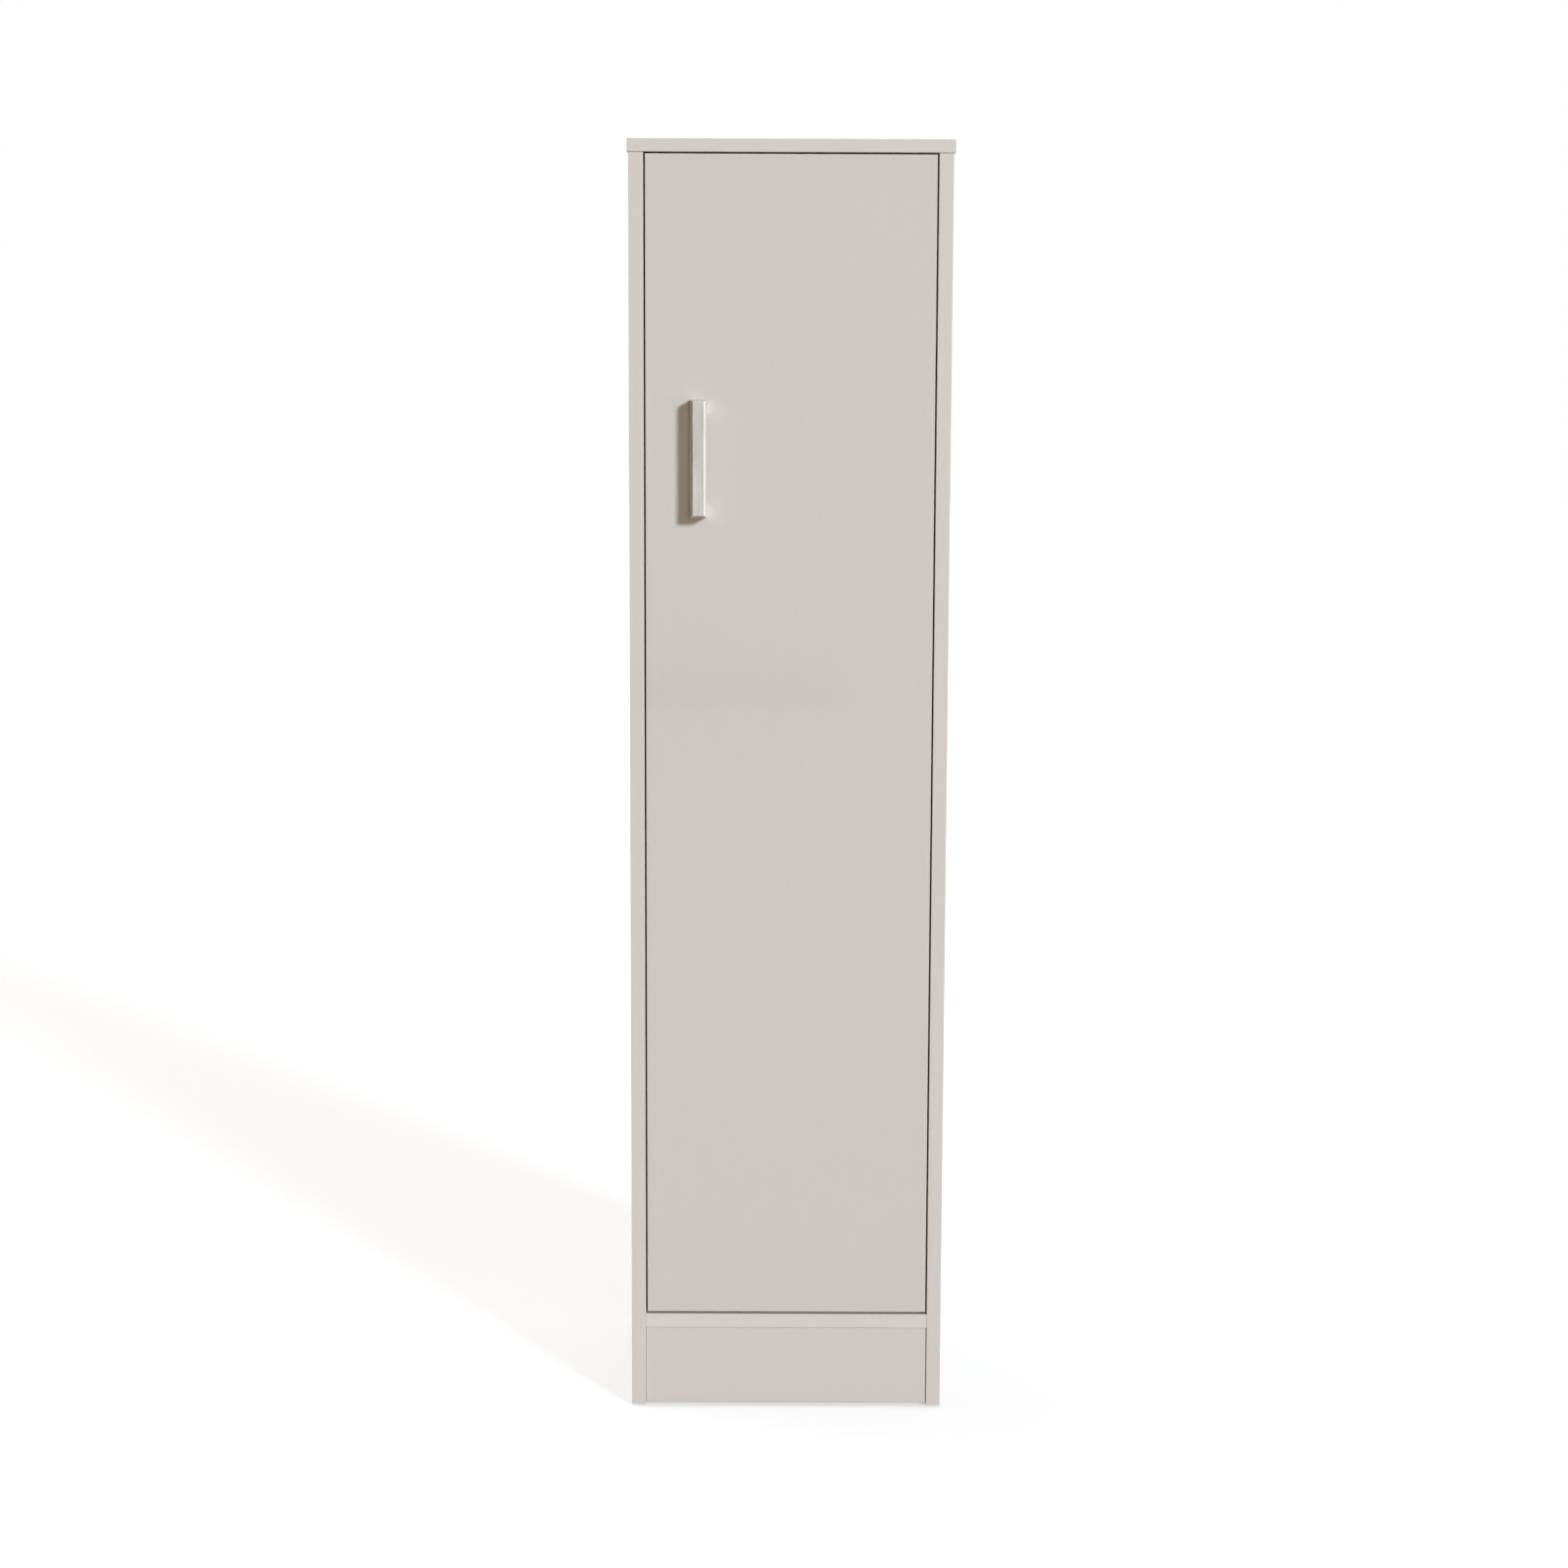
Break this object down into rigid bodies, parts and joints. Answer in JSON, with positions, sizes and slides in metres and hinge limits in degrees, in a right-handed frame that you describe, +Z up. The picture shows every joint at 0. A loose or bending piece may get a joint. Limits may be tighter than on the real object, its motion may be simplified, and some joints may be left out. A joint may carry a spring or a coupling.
{
  "type": "broom cupboard",
  "caption": "Tall narrow flat-pack broom cupboard with an inset door on concealed hinges, a bow handle, a fixed upper shelf and a recessed plinth.",
  "frame": {"origin": "on the floor, under the centre of the whole object's box, handle included", "axes": "+Z up; the door faces -Y; +X to the right of someone facing the door"},
  "size_m": [0.4, 0.376, 1.6],
  "materials": {
    "melamine_board": "satin melamine-faced chipboard, plain greige, edge banded",
    "back_fibreboard": "thin fibreboard, greige foil on the inside, brown outside",
    "satin_handle": "satin",
    "nickel_plated_steel": "nickel plated, pressed",
    "pin_steel": "turned",
    "zinc_plated_steel": "zinc plated",
    "cam_zinc": "die cast",
    "beech": "raw beech",
    "brace_plastic": "moulded",
    "glide_plastic": "moulded",
    "clear_bumper": "clear soft"
  },
  "bodies": {
    "carcass": {"left_side_panel": "melamine_board", "right_side_panel": "melamine_board", "top_board": "melamine_board", "bottom_board": "melamine_board", "upper_shelf": "melamine_board", "plinth_board": "melamine_board", "back_panel": "back_fibreboard", "hinge_arms": "nickel_plated_steel", "hinge_mounting_plates": "nickel_plated_steel", "hinge_arm_pins": "pin_steel", "cam_bolts": "zinc_plated_steel", "hinge_plate_screws": "zinc_plated_steel", "hinge_fixing_screws": "zinc_plated_steel", "hinge_adjusting_screws": "zinc_plated_steel", "plinth_brace_screws": "zinc_plated_steel", "wall_bracket": "zinc_plated_steel", "wall_bracket_screws": "zinc_plated_steel", "glide_nails": "zinc_plated_steel", "back_nails": "zinc_plated_steel", "cam_locks": "cam_zinc", "wood_dowels": "beech", "plinth_braces": "brace_plastic", "floor_glides": "glide_plastic", "door_bumpers": "clear_bumper"},
    "door": {"door_panel": "melamine_board", "handle": "satin_handle", "handle_screws": "zinc_plated_steel", "hinge_cups": "nickel_plated_steel", "hinge_cup_pins": "pin_steel", "hinge_cup_screws": "zinc_plated_steel"},
    "arm_links": {"hinge_arm_links": "nickel_plated_steel", "hinge_elbow_pins": "pin_steel"},
    "cup_links": {"hinge_cup_links": "nickel_plated_steel"}
  },
  "joints": [
    {"name": "door_hinge", "type": "hinge", "parent": "carcass", "child": "door", "pos_m": [0.178, -0.16, 0.85425], "axis": [0, 0, 1], "range_deg": [0, 105]},
    {"name": "arm_link_pivot", "type": "hinge", "parent": "carcass", "child": "arm_links", "pos_m": [0.16725, -0.13199, 0.85425], "axis": [0, 0, 1], "range_deg": [0, 105]},
    {"name": "cup_link_pivot", "type": "hinge", "parent": "door", "child": "cup_links", "pos_m": [0.1565, -0.1475, 0.85425], "axis": [0, 0, 1], "range_deg": [-105, 0]}
  ],
  "couplings": [
    {"joint": "arm_link_pivot", "follows": "door_hinge", "ratio": 1},
    {"joint": "cup_link_pivot", "follows": "door_hinge", "ratio": -1}
  ]
}
